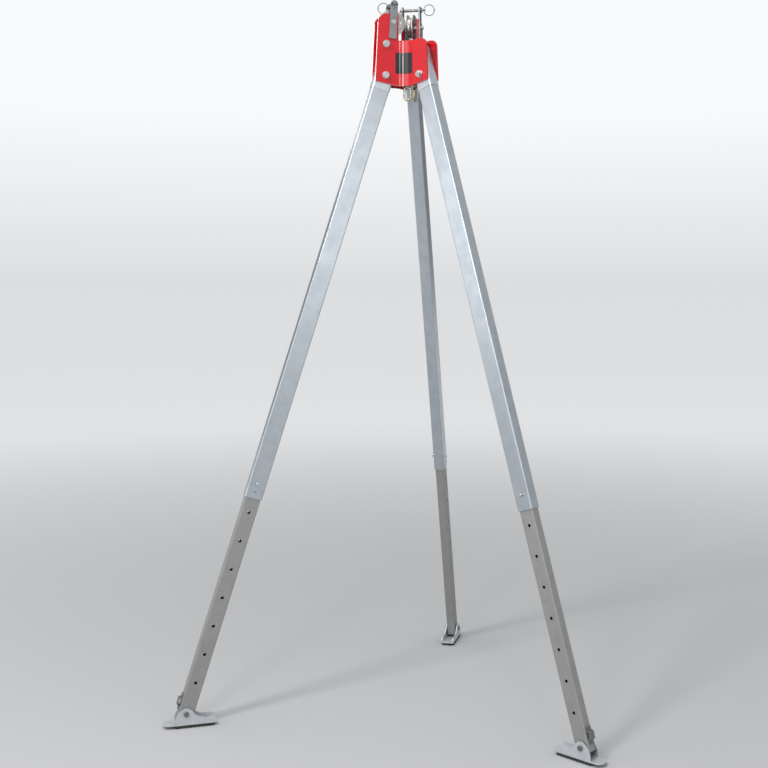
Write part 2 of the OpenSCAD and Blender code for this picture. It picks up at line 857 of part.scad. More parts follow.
// Lock pin with its shoulder and knob on the +Y side
module lock_pin(leg) {
  face = outer_tube_narrow / 2;
  shoulder_at = face + tube_gap;
  color("gray") along_leg(leg) translate([0, 0, -pivot_to_lock]) {
    across(lock_pin_r, -face - lock_pin_tail, shoulder_at);
    across(lock_shoulder_r, shoulder_at, shoulder_at + lock_shoulder_h);
    across(lock_knob_r, shoulder_at + lock_shoulder_h, face + lock_pin_out);
  }
}

module lock_pin_left() {
  lock_pin(LEFT);
}

module lock_pin_rear() {
  lock_pin(REAR);
}

module lock_pin_right() {
  lock_pin(RIGHT);
}

// Side outline of the shoe's cheeks, about the foot pivot
module cheek_outline() {
  toe_high = toe_top - foot_pivot_height;
  difference() {
    polygon(concat(
      [[heel_reach, base_low]],
      arc([heel_reach - heel_curve_r, -heel_curve_drop], heel_curve_r, 0, heel_turn),
      arc([0, 0], cheek_top_r, cheek_top_from, cheek_top_to),
      arc([-slope_reach, toe_high + slope_r], slope_r, slope_from, -90),
      arc([toe_corner - toe_reach, toe_high - toe_corner], toe_corner, 90, 180),
      [[-toe_reach, base_low]]));
    circle(r = foot_bolt_r + hole_gap);
  }
}

// Base of the shoe from the toe to the rounded tongue
module base_outline() {
  square_end = tongue_reach - tongue_corner;
  translate([-toe_reach, -shoe_outer]) square([toe_reach + square_end, 2 * shoe_outer]);
  translate([0, tongue_corner - shoe_outer])
    square([tongue_reach, 2 * (shoe_outer - tongue_corner)]);
  for (y = [-1, 1])
    translate([square_end, y * (shoe_outer - tongue_corner)]) circle(r = tongue_corner);
}

module foot_shoe(leg) {
  color("lightgray") at_foot(leg) union() {
    translate([0, 0, base_low]) linear_extrude(shoe_thick) base_outline();
    for (y = [shoe_outer, -shoe_half])
      translate([0, y, 0]) rotate([90, 0, 0]) linear_extrude(shoe_thick) cheek_outline();
  }
}

module foot_shoe_left() {
  foot_shoe(LEFT);
}

module foot_shoe_rear() {
  foot_shoe(REAR);
}

module foot_shoe_right() {
  foot_shoe(RIGHT);
}

// Tread pad with a row of teeth across the foot
module foot_pad(leg) {
  floor_at = -foot_pivot_height;
  root_at = floor_at + tooth_height;
  pitch = (pad_heel + pad_toe) / tooth_count;
  teeth = [for (i = [0:tooth_count - 1]) let (x = -pad_toe + i * pitch)
    each [[x, root_at], [x + pitch * tooth_flat_from, floor_at],
      [x + pitch * tooth_flat_to, floor_at], [x + pitch * tooth_root_at, root_at]]];
  color("black") at_foot(leg) translate([0, shoe_outer, 0]) rotate([90, 0, 0])
    linear_extrude(2 * shoe_outer)
      polygon(concat([[-pad_toe, base_low]], teeth, [[pad_heel, root_at], [pad_heel, base_low]]));
}

module foot_pad_left() {
  foot_pad(LEFT);
}

module foot_pad_rear() {
  foot_pad(REAR);
}

module foot_pad_right() {
  foot_pad(RIGHT);
}

// Bolt through the shoe's cheeks with its head and its nut
module foot_bolt(leg) {
  color("silver") at_foot(leg) {
    across(foot_bolt_r, -shoe_outer, shoe_outer);
    for (y = [-shoe_outer, shoe_outer + foot_head_h]) translate([0, y, 0]) rotate([90, 0, 0])
      cylinder(r = foot_bolt_r * bolt_head_factor, h = foot_head_h, $fn = 6);
  }
}

module foot_bolt_left() {
  foot_bolt(LEFT);
}

module foot_bolt_rear() {
  foot_bolt(REAR);
}

module foot_bolt_right() {
  foot_bolt(RIGHT);
}

head_plate_front();
head_plate_left();
head_plate_right();
label_plate();
pivot_bolts();
pivot_nuts();
spacer_bolts();
spacer_nuts();
spacer_tubes();
stop_bar_right();
strap_pair_left();
strap_pair_rear();
axle_bolts();
axle_nuts();
axle_spacers();
anchor_bar();
sheave_left();
sheave_rear();
sheave_bush_left();
sheave_bush_rear();
keeper_pin_left();
keeper_pin_rear();
pull_ring_left();
pull_ring_rear();
swivel_eye_front();
swivel_eye_back();
eye_nut_front();
eye_nut_back();
outer_tube_left();
outer_tube_rear();
outer_tube_right();
leg_sleeve_left();
leg_sleeve_rear();
leg_sleeve_right();
pivot_bush_left();
pivot_bush_rear();
pivot_bush_right();
inner_tube_left();
inner_tube_rear();
inner_tube_right();
end_plug_left();
end_plug_rear();
end_plug_right();
strap_loop_left();
strap_loop_rear();
strap_loop_right();
lock_pin_left();
lock_pin_rear();
lock_pin_right();
foot_shoe_left();
foot_shoe_rear();
foot_shoe_right();
foot_pad_left();
foot_pad_rear();
foot_pad_right();
foot_bolt_left();
foot_bolt_rear();
foot_bolt_right();
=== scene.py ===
import json
import math

import bpy
from mathutils import Matrix, Vector

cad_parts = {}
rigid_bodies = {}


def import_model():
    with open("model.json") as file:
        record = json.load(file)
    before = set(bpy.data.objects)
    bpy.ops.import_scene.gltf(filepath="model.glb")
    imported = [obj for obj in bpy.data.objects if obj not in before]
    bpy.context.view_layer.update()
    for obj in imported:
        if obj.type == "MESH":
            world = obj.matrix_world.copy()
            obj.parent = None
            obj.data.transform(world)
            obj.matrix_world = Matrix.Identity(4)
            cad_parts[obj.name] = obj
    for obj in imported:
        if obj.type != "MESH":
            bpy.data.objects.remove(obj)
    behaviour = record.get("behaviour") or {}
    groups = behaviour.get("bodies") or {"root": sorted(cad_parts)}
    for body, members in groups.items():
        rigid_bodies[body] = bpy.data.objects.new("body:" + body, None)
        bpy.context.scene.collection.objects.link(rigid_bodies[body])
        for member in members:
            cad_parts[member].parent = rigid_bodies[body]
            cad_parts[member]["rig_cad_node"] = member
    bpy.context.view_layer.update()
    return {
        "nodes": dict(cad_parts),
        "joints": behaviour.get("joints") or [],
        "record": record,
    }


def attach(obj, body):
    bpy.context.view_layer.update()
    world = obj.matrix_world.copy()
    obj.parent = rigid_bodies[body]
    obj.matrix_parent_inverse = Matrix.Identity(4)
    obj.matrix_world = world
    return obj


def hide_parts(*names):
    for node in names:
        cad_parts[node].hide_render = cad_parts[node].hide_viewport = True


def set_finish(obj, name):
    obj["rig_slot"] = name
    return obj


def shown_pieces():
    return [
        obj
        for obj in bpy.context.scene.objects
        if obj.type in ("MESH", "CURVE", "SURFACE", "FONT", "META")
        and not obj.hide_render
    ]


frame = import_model()
bpy.context.scene.view_settings.view_transform = "Standard"

mm = 0.001
near = 0.02 * mm  # places closer than this count as one
overlap = 1 * mm  # how far joined solids reach into each other
tripod = {
    "tilt": 17.9,  # degrees from the vertical
    "pivotOut": 84 * mm,  # head pivots from the tripod's axis
    "legLength": 2257 * mm,  # head pivot to foot pivot
    "footUp": 48 * mm,  # foot pivots above the floor
    "legTop": 91.76 * mm,  # top of an outer tube above its pivot
    "axleOut": 57.5 * mm,  # sheave axles from the tripod's axis
    "axleUp": 176.5 * mm,  # and above the head pivots
    "strapLean": 3,  # degrees
}
legTurn = {"rear": 90, "left": 210, "right": 330}
legs = ("left", "rear", "right")
roped = ("left", "rear")  # legs that carry a sheave
tilt = math.radians(tripod["tilt"])
pivotUp = tripod["footUp"] + tripod["legLength"] * math.cos(tilt)
footOut = tripod["pivotOut"] + tripod["legLength"] * math.sin(tilt)
rearFold = next(joint for joint in frame["joints"] if joint["name"] == "leg_fold_rear")
axisY = rearFold["pos_m"][1] - tripod["pivotOut"]  # the rear leg stands along y
acrossTurn = Matrix.Rotation(math.radians(-90), 4, "X")  # lays a piece's z along a leg's cross axis


def legPlane(leg):  # x away from the tripod's axis, y across the leg
    turn = Matrix.Rotation(math.radians(legTurn[leg]), 4, "Z")
    return Matrix.Translation((0, axisY, 0)) @ turn


def inHead(leg, out, up):
    return legPlane(leg) @ Matrix.Translation((out, 0, pivotUp + up))


def alongLeg(leg):  # z up the open leg, from its head pivot
    return inHead(leg, tripod["pivotOut"], 0) @ Matrix.Rotation(-tilt, 4, "Y")


def upLeg(leg):  # the same from its foot pivot
    return alongLeg(leg) @ Matrix.Translation((0, 0, -tripod["legLength"]))


def atFoot(leg):
    return legPlane(leg) @ Matrix.Translation((footOut, 0, tripod["footUp"]))


def atAxle(leg):
    return inHead(leg, tripod["axleOut"], tripod["axleUp"])


def inStraps(leg):
    return atAxle(leg) @ Matrix.Rotation(math.radians(-tripod["strapLean"]), 4, "Y")


def clearSelection():
    if bpy.context.object and bpy.context.object.mode != "OBJECT":
        bpy.ops.object.mode_set(mode="OBJECT")
    bpy.ops.object.select_all(action="DESELECT")


def pick(*pieces):  # the last one is the active one
    clearSelection()
    for piece in pieces:
        piece.select_set(True)
    bpy.context.view_layer.objects.active = pieces[-1]


def named(name):
    piece = bpy.context.object
    piece.name = piece.data.name = name
    return piece


def openEdit(piece, kind="FACE", whole=False):  # with all of it selected, or nothing
    pick(piece)
    bpy.ops.object.mode_set(mode="EDIT")
    bpy.ops.mesh.select_mode(type=kind)
    bpy.ops.mesh.select_all(action="SELECT" if whole else "DESELECT")


def closeEdit():
    bpy.ops.object.mode_set(mode="OBJECT")


def chooseFaces(piece, test):  # leaves edit mode open with those faces selected
    openEdit(piece)
    closeEdit()
    for face in piece.data.polygons:
        face.select = test(face)
    bpy.ops.object.mode_set(mode="EDIT")


def chooseEdges(piece, test):  # test takes the two ends
    openEdit(piece, "EDGE")
    closeEdit()
    corners = piece.data.vertices
    for edge in piece.data.edges:
        edge.select = test(corners[edge.vertices[0]].co, corners[edge.vertices[1]].co)
    bpy.ops.object.mode_set(mode="EDIT")


def choosePoints(piece, test):
    openEdit(piece, "VERT")
    closeEdit()
    for point in piece.data.vertices:
        point.select = test(point.co)
    bpy.ops.object.mode_set(mode="EDIT")


def applyModifier(piece, kind, **settings):
    pick(piece)
    modifier = piece.modifiers.new(kind.lower(), kind)
    for key, value in settings.items():
        setattr(modifier, key, value)
    bpy.ops.object.modifier_apply(modifier=modifier.name)


def carve(piece, cutter, operation="DIFFERENCE"):
    applyModifier(piece, "BOOLEAN", object=cutter, operation=operation, solver="EXACT")
    bpy.data.objects.remove(cutter)


def roundEdges(piece, width, steps=2, angle=38):
    applyModifier(piece, "BEVEL", width=width, segments=steps, limit_method="ANGLE",
                  angle_limit=math.radians(angle), miter_outer="MITER_ARC")
    smoothFaces(piece)


def smoothFaces(piece, angle=40):  # large flat faces keep their own normal
    pick(piece)
    bpy.ops.object.shade_smooth_by_angle(angle=math.radians(angle))
    applyModifier(piece, "WEIGHTED_NORMAL", keep_sharp=True, weight=80)


def joined(name, *pieces):
    pick(*pieces)
    bpy.ops.object.join()
    return named(name)


def tidyMesh(piece):  # closes seams and turns all faces outwards
    openEdit(piece, whole=True)
    bpy.ops.mesh.remove_doubles(threshold=0.001 * mm)
    bpy.ops.mesh.normals_make_consistent(inside=False)
    closeEdit()


def placedCopy(piece, name, place):  # a copy with its own mesh, its place in the mesh
    pick(piece)
    bpy.ops.object.duplicate()
    copy = named(name)
    copy.matrix_world = place
    bpy.ops.object.transform_apply(location=True, rotation=True, scale=True)
    return copy


def discard(*pieces):
    for piece in pieces:
        bpy.data.objects.remove(piece)


def fit(piece, body, slot, *nodes):  # rides on its body and stands for those nodes
    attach(piece, body)
    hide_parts(*nodes)
    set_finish(piece, slot)


def fitCopy(model, place, name, body, slot, node):
    fit(placedCopy(model, name, place), body, slot, node)


def rod(name, radius, low, high, sides=48):  # a start along z
    bpy.ops.mesh.primitive_cylinder_add(vertices=sides, radius=radius, depth=high - low,
                                        location=(0, 0, (low + high) / 2))
    bpy.ops.object.transform_apply(location=True)
    return named(name)


def crossRod(name, radius, low, high, up, sides=40):  # a cutter along y
    bpy.ops.mesh.primitive_cylinder_add(vertices=sides, radius=radius, depth=high - low,
                                        location=(0, (low + high) / 2, up), rotation=(math.pi / 2, 0, 0))
    bpy.ops.object.transform_apply(location=True, rotation=True)
    return named(name)


def ringCuts(piece, heights):  # loops round a rod
    openEdit(piece)
    for height in heights:
        bpy.ops.mesh.select_all(action="SELECT")
        bpy.ops.mesh.bisect(plane_co=(0, 0, height), plane_no=(0, 0, 1))
    closeEdit()


def scaleLoop(piece, height, radius, newRadius):
    choosePoints(piece, lambda co: abs(co.z - height) < near and co.xy.length > radius - 10 * near)
    factor = newRadius / radius
    bpy.ops.transform.resize(value=(factor, factor, 1), center_override=(0, 0, height))
    closeEdit()


def turnGroove(piece, heights, radius, share):  # from the first height to the last
    ringCuts(piece, heights)
    for height in heights[1:-1]:
        scaleLoop(piece, height, radius, radius * share)


# Box tubes of the legs

legTube = {
    "outer": {"wide": 60 * mm, "narrow": 40 * mm, "low": -1500 * mm, "high": tripod["legTop"]},
    "inner": {"wide": 53.4 * mm, "narrow": 33.4 * mm, "low": -17 * mm, "high": 1057 * mm},
    "wall": 3 * mm,
    "corner": 4 * mm,
    "insideCorner": 1 * mm,
    "edge": 0.45 * mm,
    "pivotHole": 9.05 * mm,  # radii of the holes
    "footHole": 5.05 * mm,
    "lockHole": 5.5 * mm,
    "sideHole": 3 * mm,
    "lockAt": -1450 * mm,  # from the head pivot
    "sideHoleAt": -1478 * mm,
    "firstHole": 107 * mm,  # from the foot pivot
    "holePitch": 100 * mm,
    "holeCount": 8,
}


def roundedBar(name, wide, narrow, low, high, corner):
    bpy.ops.mesh.primitive_cube_add(size=1, location=(0, 0, (low + high) / 2))
    bar = named(name)
    bar.scale = (wide, narrow, high - low)
    bpy.ops.object.transform_apply(location=True, scale=True)
    chooseEdges(bar, lambda a, b: abs(a.z - b.z) > (high - low) / 2)
    bpy.ops.mesh.bevel(offset=corner, segments=5, affect="EDGES")
    closeEdit()
    return bar


def boxTube(kind, crossHoles, sideHole=None):  # holes as radius and height
    sizes, wall = legTube[kind], legTube["wall"]
    tube = roundedBar(kind + "Tube", sizes["wide"], sizes["narrow"], sizes["low"], sizes["high"],
                      legTube["corner"])
    carve(tube, roundedBar("bore", sizes["wide"] - 2 * wall, sizes["narrow"] - 2 * wall,
                           sizes["low"] - wall, sizes["high"] + wall, legTube["insideCorner"]))
    reach = sizes["narrow"]
    drills = [crossRod("drill", radius, -reach, reach, up) for radius, up in crossHoles]
    if sideHole:  # through one wall
        radius, up = sideHole
        drills.append(crossRod("drill", radius, 0, reach, up))
    carve(tube, joined("drills", *drills))
    roundEdges(tube, legTube["edge"], angle=55)
    return tube


lockRow = [(legTube["lockHole"], legTube["firstHole"] + i * legTube["holePitch"])
           for i in range(legTube["holeCount"])]
outerTube = boxTube("outer", [(legTube["pivotHole"], 0), (legTube["lockHole"], legTube["lockAt"])],
                    (legTube["sideHole"], legTube["sideHoleAt"]))
innerTube = boxTube("inner", [(legTube["footHole"], 0), *lockRow])
for leg in legs:
    fitCopy(outerTube, alongLeg(leg), "legTube_" + leg, "leg_" + leg,
            "bright_aluminium", "outer_tube_" + leg)
    fitCopy(innerTube, upLeg(leg), "lowerTube_" + leg, "lower_leg_" + leg,
            "grey_aluminium", "inner_tube_" + leg)
discard(outerTube, innerTube)
print("tubes: three legs, each of two box tubes")

# Bolts and nuts with chamfered hexagons

fastener = {
    "hexShare": 1.85,  # corner radius over the bolt's radius, as are all shares here
    "headShare": 1.4,  # height of a head
    "nutShare": 1.5,  # height of a nut
    "endShare": 2,  # thread past the washer
    "washerShare": 2,  # radius of a washer
    "washer": 2 * mm,
    "chamfer": 0.26,
    "threadPitch": 1.5 * mm,
    "threadDeep": 0.09,
    "leadIn": 0.82,  # radius at the end of a thread
    "tap": 1.01,  # radius of a nut's hole
    "tapReach": 4,
    "lathe": 0.995,  # radius of the chamfers' cutter over the hexagon's corner radius
    "past": 0.02 * mm,  # how far that cutter stands clear of an end
    "edge": 0.25 * mm,
}


def hexBlock(name, radius, low, high, bothEnds=False):
    corner, past = radius * fastener["hexShare"], fastener["past"]
    block = rod(name, corner, low, high, sides=6)
    block.rotation_euler.z = math.radians(30)
    bpy.ops.object.transform_apply(rotation=True)
    ends = (low - past, high + past) if bothEnds else (high + past,)
    latheLow = low - (past if bothEnds else radius)
    lathe = rod("lathe", corner * fastener["lathe"], latheLow, high + past, sides=72)
    chooseEdges(lathe, lambda a, b: any(abs(a.z - z) + abs(b.z - z) < past / 2 for z in ends))
    bpy.ops.mesh.bevel(offset=radius * fastener["chamfer"], segments=3, affect="EDGES")
    closeEdit()
    carve(block, lathe, "INTERSECT")
    roundEdges(block, fastener["edge"] / 2, steps=1, angle=25)
    return block


def threaded(name, radius, low, high, threadTo):
    pin = rod(name, radius, low, high, sides=40)
    turns = int((threadTo - low) / fastener["threadPitch"])
    heights = [low + (i + 1) * fastener["threadPitch"] / 2 for i in range(2 * turns)]
    ringCuts(pin, heights)
    for height in heights[::2]:
        scaleLoop(pin, height, radius, radius * (1 - fastener["threadDeep"]))
    scaleLoop(pin, low, radius, radius * fastener["leadIn"])
    smoothFaces(pin)
    return pin


def washerDisc(name, radius, low, high):
    disc = rod(name, radius, low, high, sides=56)
    roundEdges(disc, fastener["edge"])
    return disc


def hexBolt(radius, half):  # along z: the head and washer above the grip, a thread at the other end
    top = half + fastener["washer"]
    end = -top - radius * fastener["endShare"]
    head = hexBlock("head", radius, top, top + radius * fastener["headShare"])
    washer = washerDisc("washer", radius * fastener["washerShare"], half, top)
    shank = threaded("shank", radius, end, half, -half)
    return joined("bolt", head, washer, shank)


def hexNut(radius, half):
    low = -half - fastener["washer"]
    nut = hexBlock("nut", radius, low - radius * fastener["nutShare"], low, True)
    washer = washerDisc("washer", radius * fastener["washerShare"], low, -half)
    for part in (nut, washer):
        carve(part, rod("tap", radius * fastener["tap"], low - radius * fastener["tapReach"], half, sides=40))
    return joined("nut", washer, nut)


boltSets = {  # half of the grip, and the place in the leg's plane from the axis and the pivots
    "pivot": {"radius": 6 * mm, "half": 28 * mm, "legs": legs, "place": (tripod["pivotOut"], 0)},
    "spacer": {"radius": 6 * mm, "half": 28 * mm, "legs": roped, "place": (82 * mm, 104.5 * mm)},
    "axle": {"radius": 4 * mm, "half": 33.5 * mm, "legs": roped,
             "place": (tripod["axleOut"], tripod["axleUp"])},
}
for kind, sizes in boltSets.items():
    for maker, ending in ((hexBolt, "Bolts"), (hexNut, "Nuts")):
        model = maker(sizes["radius"], sizes["half"])
        copies = [placedCopy(model, kind + ending + leg, inHead(leg, *sizes["place"]) @ acrossTurn)
                  for leg in sizes["legs"]]
        fit(joined(kind + ending, *copies), "head", "plated_steel", kind + "_" + ending.lower())
        discard(model)

footBolt = {"radius": 5 * mm, "half": 25 * mm, "head": 6 * mm}


def shoeBolt():  # alike at both ends
    half = footBolt["half"]
    head = hexBlock("head", footBolt["radius"], half, half + footBolt["head"])
    tail = placedCopy(head, "tail", Matrix.Rotation(math.pi, 4, "X"))
    shank = rod("shank", footBolt["radius"], -half, half, sides=40)
    return joined("shoeBolt", head, tail, shank)


model = shoeBolt()
for leg in legs:
    fitCopy(model, atFoot(leg) @ acrossTurn, "footBolt_" + leg, "foot_" + leg,
            "plated_steel", "foot_bolt_" + leg)
discard(model)
print("fasteners: bolts, nuts and washers")

# Rope sheaves

sheave = {
    "radius": 45 * mm,
    "half": 14 * mm,
    "loops": (  # mm from the middle, and the radius there
        (12.5, 45), (9.5, 45), (6.6, 39.2), (4, 35.3), (2, 34.4), (0, 34.2)),
    "faceRadius": 35 * mm,
    "bore": 8.05 * mm,
    "web": (18 * mm, 32.5 * mm, 1.6 * mm),  # from, to, depth
    "slope": 0.12,  # share of the web's width that each of its two slopes takes
    "sides": 112,
    "edge": 0.5 * mm,
}


def ropeSheave():
    radius, half, faceRadius = sheave["radius"], sheave["half"], sheave["faceRadius"]
    wheel = rod("wheel", radius, -half, half, sides=sheave["sides"])
    loops = [(side * out * mm, loopRadius * mm) for out, loopRadius in sheave["loops"]
             for side in ((-1, 1) if out else (1,))]
    ringCuts(wheel, [height for height, _ in loops])
    for height, loopRadius in (*loops, (-half, faceRadius), (half, faceRadius)):
        scaleLoop(wheel, height, radius, loopRadius)
    low, high, deep = sheave["web"]
    slope = (high - low) * sheave["slope"]
    chooseFaces(wheel, lambda face: len(face.vertices) == sheave["sides"])
    steps = ((faceRadius - high, 0), (slope, -deep), (high - low - 2 * slope, 0), (slope, deep),
             (low - sheave["bore"], 0))
    for inwards, rise in steps:
        bpy.ops.mesh.inset(thickness=inwards, depth=rise, use_individual=True)
    bpy.ops.mesh.bridge_edge_loops()
    closeEdit()
    tidyMesh(wheel)
    roundEdges(wheel, sheave["edge"], angle=24)
    return wheel


model = ropeSheave()
for leg in roped:
    fitCopy(model, atAxle(leg) @ acrossTurn, "ropeSheave_" + leg, "sheave_" + leg,
            "sheave_metal", "sheave_" + leg)
discard(model)
print("sheaves: two")

# Straps, keeper pins and pull rings

strap = {
    "half": 12.5 * mm,
    "below": 55 * mm,  # from the axle
    "above": 60 * mm,
    "inside": 28 * mm,  # from the middle of the pair
    "thick": 5.5 * mm,
    "axleHole": 4.1 * mm,  # radii
    "pinHole": 5.3 * mm,
    "edge": 0.7 * mm,
}


def strapPlate():
    above = strap["above"]
    bpy.ops.mesh.primitive_circle_add(vertices=72, radius=strap["half"], fill_type="NGON",
                                      location=(0, above, 0))
    bpy.ops.object.transform_apply(location=True)
    plate = named("strapPlate")
    openEdit(plate, whole=True)
    bpy.ops.mesh.bisect(plane_co=(0, above, 0), plane_no=(0, -1, 0), clear_outer=True)
    closeEdit()
    chooseEdges(plate, lambda a, b: abs(a.y - above) + abs(b.y - above) < near)
    bpy.ops.mesh.extrude_region_move(TRANSFORM_OT_translate={"value": (0, -above - strap["below"], 0)})
    bpy.ops.mesh.select_all(action="SELECT")
    bpy.ops.mesh.extrude_region_move(TRANSFORM_OT_translate={"value": (0, 0, strap["thick"])})
    closeEdit()
    tidyMesh(plate)
    for radius, up in ((strap["axleHole"], 0), (strap["pinHole"], above)):
        drill = rod("drill", radius, -strap["thick"], 2 * strap["thick"], sides=40)
        drill.location.y = up
        bpy.ops.object.transform_apply(location=True)
        carve(plate, drill)
    roundEdges(plate, strap["edge"], steps=3)
    return plate


keeper = {
    "radius": 5 * mm,
    "nose": 40.5 * mm,
    "noseRound": 2.2 * mm,
    "catch": (3.4, 3.9, 4.6, 5.1),  # mm from the nose: a groove's edge, floor and other edge
    "catchShare": 0.86,  # of the radius
    "collarAt": 33.8 * mm,
    "collar": 4 * mm,
    "collarRadius": 8 * mm,
    "tab": 12 * mm,
    "tabThick": 5 * mm,
    "ringHole": 3 * mm,
    "edge": 0.6 * mm,
}
collarEnd = -keeper["collarAt"] - keeper["collar"]
ringHoleAt = collarEnd - keeper["tab"] / 2


def keeperPin():  # along z, with its nose up and its ring tab down
    radius, nose = keeper["radius"], keeper["nose"]
    pin = rod("pin", radius, collarEnd, nose)
    chooseEdges(pin, lambda a, b: min(a.z, b.z) > nose - near)
    bpy.ops.mesh.bevel(offset=keeper["noseRound"], segments=4, affect="EDGES")
    closeEdit()
    turnGroove(pin, [nose - down * mm for down in keeper["catch"]], radius, keeper["catchShare"])
    collar = rod("collar", keeper["collarRadius"], collarEnd, -keeper["collarAt"])
    tab = rod("tab", radius, collarEnd - keeper["tab"], collarEnd + overlap)
    bpy.ops.mesh.primitive_cube_add(size=1, location=(0, 0, ringHoleAt))
    flat = named("flat")
    flat.scale = (4 * radius, keeper["tabThick"], 2 * keeper["tab"])
    bpy.ops.object.transform_apply(location=True, scale=True)
    carve(tab, flat, "INTERSECT")
    reach = 2 * radius
    carve(tab, crossRod("eye", keeper["ringHole"], -reach, reach, ringHoleAt))
    smoothFaces(pin)
    roundEdges(collar, keeper["edge"], steps=3)
    roundEdges(tab, keeper["edge"], steps=3)
    return joined("keeperPin", collar, tab, pin)


pullRing = {
    "radius": 18 * mm,
    "wire": 1.5 * mm,
    "restShare": 0.6,  # of the wire's play in its hole
    "swing": {"left": 70, "rear": 15},  # degrees
    "ferrule": 2.1 * mm,
    "ferruleHalf": 3.2 * mm,
    "ferruleEdge": 0.5 * mm,
}
ringRest = (keeper["ringHole"] - pullRing["wire"]) * pullRing["restShare"]


def wireRing():  # in the plane of y and z, hanging from its top point along -y
    bpy.ops.mesh.primitive_torus_add(major_segments=72, minor_segments=16, rotation=(0, math.pi / 2, 0),
                                     major_radius=pullRing["radius"], minor_radius=pullRing["wire"])
    bpy.ops.object.transform_apply(rotation=True)
    ring = named("wireRing")
    bpy.ops.object.shade_smooth()
    half = pullRing["ferruleHalf"]
    ferrule = rod("ferrule", pullRing["ferrule"], -half, half, sides=28)
    roundEdges(ferrule, pullRing["ferruleEdge"], steps=3)
    ferrule.location.y = -pullRing["radius"]
    pick(ferrule)
    bpy.ops.object.transform_apply(location=True)
    ring = joined("wireRing", ferrule, ring)
    ring.location.y = -pullRing["radius"] - ringRest
    bpy.ops.object.transform_apply(location=True)
    return ring


plate, pinModel, ringModel = strapPlate(), keeperPin(), wireRing()
standUp = Matrix.Rotation(math.pi / 2, 4, "X")  # the plate's own plane becomes x and z
for leg in roped:
    sides = [placedCopy(plate, "side", inStraps(leg) @ Matrix.Translation((0, y, 0)) @ standUp)
             for y in (strap["inside"] + strap["thick"], -strap["inside"])]
    fit(joined("straps_" + leg, *sides), "head", "strap_steel", "strap_pair_" + leg)
    pinPlace = inStraps(leg) @ Matrix.Translation((0, 0, strap["above"]))
    fitCopy(pinModel, pinPlace @ acrossTurn, "keeperPin_" + leg, "keeper_" + leg,
            "plated_steel", "keeper_pin_" + leg)
    swing = Matrix.Rotation(math.radians(pullRing["swing"][leg]), 4, "Z")
    hang = pinPlace @ Matrix.Translation((0, ringHoleAt, 0)) @ swing
    fitCopy(ringModel, hang, "pullRing_" + leg, "ring_" + leg, "plated_steel", "pull_ring_" + leg)
discard(plate, pinModel, ringModel)
print("straps: two pairs, with keeper pins and rings")

# Lock pins of the legs

lockPin = {
    "radius": 5 * mm,
    "tail": -28 * mm,
    "tailRound": 1.6 * mm,
    "shoulderAt": 20.3 * mm,
    "shoulder": 4 * mm,
    "shoulderRadius": 8 * mm,
    "knobRadius": 6.5 * mm,
    "groove": (0.6, 1.8, 3),  # mm from the shoulder: edge, floor and other edge
    "grooveShare": 0.84,  # of the knob's radius
    "end": 33 * mm,
    "edge": 0.8 * mm,
}


def telescopePin():
    knobAt = lockPin["shoulderAt"] + lockPin["shoulder"]
    pin = rod("pin", lockPin["radius"], lockPin["tail"], lockPin["shoulderAt"] + overlap)
    chooseEdges(pin, lambda a, b: max(a.z, b.z) < lockPin["tail"] + near)
    bpy.ops.mesh.bevel(offset=lockPin["tailRound"], segments=4, affect="EDGES")
    closeEdit()
    smoothFaces(pin)
    shoulder = rod("shoulder", lockPin["shoulderRadius"], lockPin["shoulderAt"], knobAt)
    knob = rod("knob", lockPin["knobRadius"], knobAt - overlap, lockPin["end"])
    turnGroove(knob, [knobAt + up * mm for up in lockPin["groove"]], lockPin["knobRadius"],
               lockPin["grooveShare"])
    roundEdges(shoulder, lockPin["edge"], steps=3)
    roundEdges(knob, lockPin["edge"], steps=3, angle=50)
    return joined("telescopePin", shoulder, knob, pin)


model = telescopePin()
lockAt = Matrix.Translation((0, 0, legTube["lockAt"]))
for leg in legs:
    fitCopy(model, alongLeg(leg) @ lockAt @ acrossTurn, "lockPin_" + leg, "lock_" + leg,
            "plated_steel", "lock_pin_" + leg)
discard(model)
print("lock pins: three")

# Swivel eyes under the head

eye = {
    "width": 31 * mm,
    "height": 52 * mm,
    "rod": 3.8 * mm,
    "collarLow": -33.3 * mm,  # from the pivots' height
    "collarHigh": -26.3 * mm,
    "collar": 7.5 * mm,
    "taper": 0.72,  # the collar narrows to this share where it meets the link
    "edge": 0.6 * mm,
    "shank": 5 * mm,
    "shankTop": -5.7 * mm,
    "plain": 13 * mm,  # length of the shank without a thread
    "place": (19 * mm, 18 * mm),
    "turn": {"front": 0, "back": 90},  # degrees
}


def swivelEye():
    bend = eye["width"] / 2 - eye["rod"]
    top = eye["collarLow"] + eye["rod"] / 2 - eye["width"] / 2  # the link starts inside the collar
    straight = eye["height"] - eye["width"]
    bpy.ops.mesh.primitive_circle_add(vertices=24, radius=eye["rod"], location=(bend, 0, top - straight))
    bpy.ops.object.transform_apply(location=True)
    link = named("link")
    openEdit(link, "VERT", whole=True)
    for rise, centre in ((straight, top), (-straight, top - straight)):
        bpy.ops.mesh.extrude_region_move(TRANSFORM_OT_translate={"value": (0, 0, rise)})
        bpy.ops.mesh.spin(steps=28, angle=math.pi, center=(0, 0, centre), axis=(0, 1, 0))
    closeEdit()
    tidyMesh(link)
    pick(link)
    bpy.ops.object.shade_smooth()
    collar = rod("collar", eye["collar"], eye["collarLow"], eye["collarHigh"])
    scaleLoop(collar, eye["collarLow"], eye["collar"], eye["collar"] * eye["taper"])
    roundEdges(collar, eye["edge"], steps=3, angle=20)
    foot = -eye["collarHigh"]  # the shank is made upside down
    shank = threaded("shank", eye["shank"], -eye["shankTop"], foot, foot - eye["plain"])
    shank.rotation_euler.x = math.pi
    pick(shank)
    bpy.ops.object.transform_apply(rotation=True)
    return joined("swivelEye", collar, shank, link)


